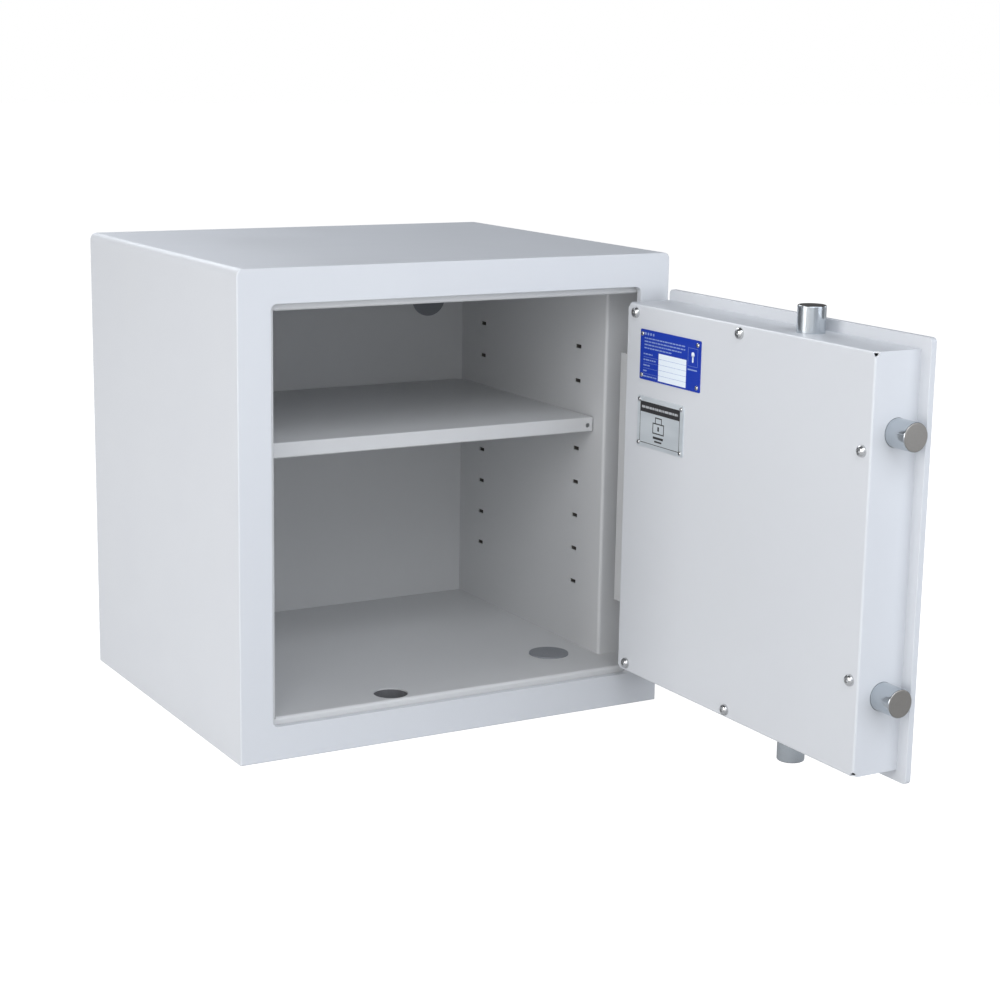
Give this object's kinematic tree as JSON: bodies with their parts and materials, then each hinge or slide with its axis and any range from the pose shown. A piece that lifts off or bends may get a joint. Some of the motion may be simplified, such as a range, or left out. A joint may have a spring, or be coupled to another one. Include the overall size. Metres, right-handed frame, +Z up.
{
  "type": "cabinet safe",
  "caption": "Double-walled steel safe with a flush door on concealed hinges, round locking bolts, key lock, lever handle and a loose shelf.",
  "frame": {"origin": "centre of the base's underside, half way between the front face and the back", "axes": "+Z up, -Y out of the front face, +X to the right seen from the front, towards the hinge side"},
  "size_m": [0.5195, 0.78, 0.45],
  "materials": {
    "cabinet_paint": "smooth satin powder coat, light cool grey",
    "liner_paint": "smooth satin powder coat, light cool grey",
    "filling": "rough mineral barrier filling",
    "zinc_steel": "zinc plated, fine turned marks",
    "raw_steel": "oiled cold-rolled steel",
    "bolt_steel": "ground and bright plated round bar",
    "screw_steel": "bright zinc plated screws",
    "dark_plastic": "moulded grey caps",
    "blue_plate": "printed and lacquered aluminium",
    "silver_plate": "brushed and etched aluminium",
    "handle_metal": "satin nickel plated die casting",
    "brass": "rolled brass"
  },
  "bodies": {
    "cabinet": {"outer_shell": "cabinet_paint", "front_frame": "cabinet_paint", "base_plate": "cabinet_paint", "rear_plate": "cabinet_paint", "liner_floor": "liner_paint", "liner_ceiling": "liner_paint", "liner_left": "liner_paint", "liner_right": "liner_paint", "liner_rear": "liner_paint", "filling_bottom": "filling", "filling_top": "filling", "filling_left": "filling", "filling_right": "filling", "filling_rear": "filling", "floor_anchor_plugs": "dark_plastic", "rear_anchor_plugs": "dark_plastic", "keeper_bar": "liner_paint", "shelf": "liner_paint", "shelf_clips": "zinc_steel", "hinge_lugs_upper": "raw_steel", "hinge_lugs_lower": "raw_steel", "hinge_pin_upper": "zinc_steel", "hinge_pin_lower": "zinc_steel", "hinge_washers": "brass"},
    "door": {"door_plate": "cabinet_paint", "door_cover": "cabinet_paint", "cover_screws": "screw_steel", "cover_standoffs": "raw_steel", "hinge_arm_upper": "cabinet_paint", "hinge_arm_lower": "cabinet_paint", "dog_bar": "cabinet_paint", "data_plate": "blue_plate", "mark_plate": "silver_plate", "plate_rivets": "screw_steel", "hard_plate": "raw_steel", "spindle_bush": "brass", "side_bolt_bracket": "raw_steel", "top_bolt_bracket": "raw_steel", "bottom_bolt_bracket": "raw_steel", "rod_guides": "raw_steel", "handle_rosette": "handle_metal", "key_escutcheon": "handle_metal", "lock_case": "zinc_steel", "lock_cover": "zinc_steel", "lock_screws": "screw_steel", "lever_pack": "brass"},
    "side_bolts": {"side_carrier": "zinc_steel", "side_bolt_upper": "bolt_steel", "side_bolt_lower": "bolt_steel"},
    "top_bolt": {"top_bolt": "bolt_steel", "top_rod": "zinc_steel"},
    "bottom_bolt": {"bottom_bolt": "bolt_steel", "bottom_rod": "zinc_steel"},
    "handle": {"spindle": "zinc_steel", "cam_disc": "zinc_steel", "cam_pins": "zinc_steel", "handle": "handle_metal"},
    "lock_bolt": {"lock_bolt": "brass"},
    "key": {"key": "screw_steel"}
  },
  "joints": [
    {"name": "door_hinge", "type": "hinge", "parent": "cabinet", "child": "door", "pos_m": [0.211, -0.1765, 0.225], "axis": [0, 0, 1], "range_deg": [-90, 0]},
    {"name": "handle_turn", "type": "hinge", "parent": "door", "child": "handle", "pos_m": [0.2245, -0.4475, 0.225], "axis": [-1, 0, 0], "range_deg": [0, 90]},
    {"name": "side_bolts_slide", "type": "slide", "parent": "door", "child": "side_bolts", "axis": [0, 1, 0], "range_m": [0, 0.024]},
    {"name": "top_bolt_slide", "type": "slide", "parent": "door", "child": "top_bolt", "axis": [0, 0, -1], "range_m": [0, 0.024]},
    {"name": "bottom_bolt_slide", "type": "slide", "parent": "door", "child": "bottom_bolt", "axis": [0, 0, 1], "range_m": [0, 0.024]},
    {"name": "key_turn", "type": "hinge", "parent": "door", "child": "key", "pos_m": [0.2245, -0.3825, 0.165], "axis": [-1, 0, 0], "range_deg": [0, 180]},
    {"name": "lock_bolt_slide", "type": "slide", "parent": "door", "child": "lock_bolt", "axis": [0, 0, 1], "range_m": [0, 0.012]}
  ],
  "couplings": [
    {"joint": "side_bolts_slide", "follows": "handle_turn", "m_per_rad": 0.015279},
    {"joint": "top_bolt_slide", "follows": "handle_turn", "m_per_rad": 0.015279},
    {"joint": "bottom_bolt_slide", "follows": "handle_turn", "m_per_rad": 0.015279},
    {"joint": "lock_bolt_slide", "follows": "key_turn", "m_per_rad": 0.00381}
  ]
}
